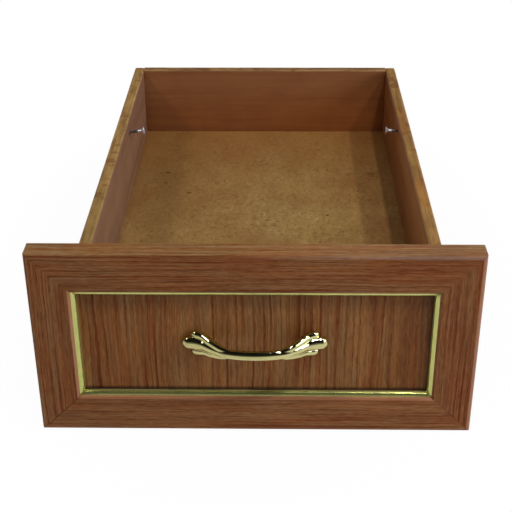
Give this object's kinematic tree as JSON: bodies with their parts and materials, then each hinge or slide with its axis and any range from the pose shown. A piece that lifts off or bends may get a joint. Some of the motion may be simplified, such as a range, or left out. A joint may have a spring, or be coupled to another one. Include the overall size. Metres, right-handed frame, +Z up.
{
  "type": "cabinet drawer",
  "caption": "Cabinet drawer with a mitred oak-look frame front, recessed panel with gold bead, brass bow pull, open box and hardboard bottom.",
  "frame": {"origin": "centre of the bounding box in X and Y, at the lower edge of the front in Z", "axes": "+Y from the front towards the back of the box, +Z up, +X to the right seen from in front"},
  "size_m": [0.396, 0.593, 0.186],
  "materials": {
    "oak_foil_frame": "satin oak-look foil, grain along each member",
    "oak_foil_panel": "satin oak-look foil, upright grain",
    "gold_bead": "mirror gold",
    "brass_pull": "polished",
    "side_board": "clear satin, lighter bare top edge",
    "back_board": "clear satin, grain across",
    "hardboard": "matt mottled fibre board",
    "zinc_screw": "bright zinc",
    "steel_nail": "dull wire steel",
    "dowel_beech": "raw beech"
  },
  "bodies": {
    "drawer": {"bead_bottom": "gold_bead", "bead_left": "gold_bead", "bead_right": "gold_bead", "bead_top": "gold_bead", "bottom_nail_left": "steel_nail", "bottom_nail_middle": "steel_nail", "bottom_nail_right": "steel_nail", "bottom_panel": "hardboard", "box_back": "back_board", "box_front": "side_board", "box_side_left": "side_board", "box_side_right": "side_board", "centre_panel": "oak_foil_panel", "frame_rail_bottom": "oak_foil_frame", "frame_rail_top": "oak_foil_frame", "frame_stile_left": "oak_foil_frame", "frame_stile_right": "oak_foil_frame", "front_fixing_screw_bottom_left": "zinc_screw", "front_fixing_screw_bottom_right": "zinc_screw", "front_fixing_screw_top_left": "zinc_screw", "front_fixing_screw_top_right": "zinc_screw", "left_side_nail_front_lower": "steel_nail", "left_side_nail_front_upper": "steel_nail", "left_side_nail_rear_lower": "steel_nail", "left_side_nail_rear_upper": "steel_nail", "mitre_dowel_bottom_left": "dowel_beech", "mitre_dowel_bottom_right": "dowel_beech", "mitre_dowel_top_left": "dowel_beech", "mitre_dowel_top_right": "dowel_beech", "pull_handle": "brass_pull", "pull_screw_left": "zinc_screw", "pull_screw_right": "zinc_screw", "right_side_nail_front_lower": "steel_nail", "right_side_nail_front_upper": "steel_nail", "right_side_nail_rear_lower": "steel_nail", "right_side_nail_rear_upper": "steel_nail"},
    "stop_screw_left": {"stop_screw_left": "zinc_screw"},
    "stop_screw_right": {"stop_screw_right": "zinc_screw"}
  },
  "joints": [
    {"name": "stop_screw_left_drive", "type": "slide", "parent": "drawer", "child": "stop_screw_left", "axis": [-0.9903, 0, -0.1392], "range_m": [0, 0.0135]},
    {"name": "stop_screw_right_drive", "type": "slide", "parent": "drawer", "child": "stop_screw_right", "axis": [0.9976, 0, -0.0698], "range_m": [0, 0.0105]}
  ]
}
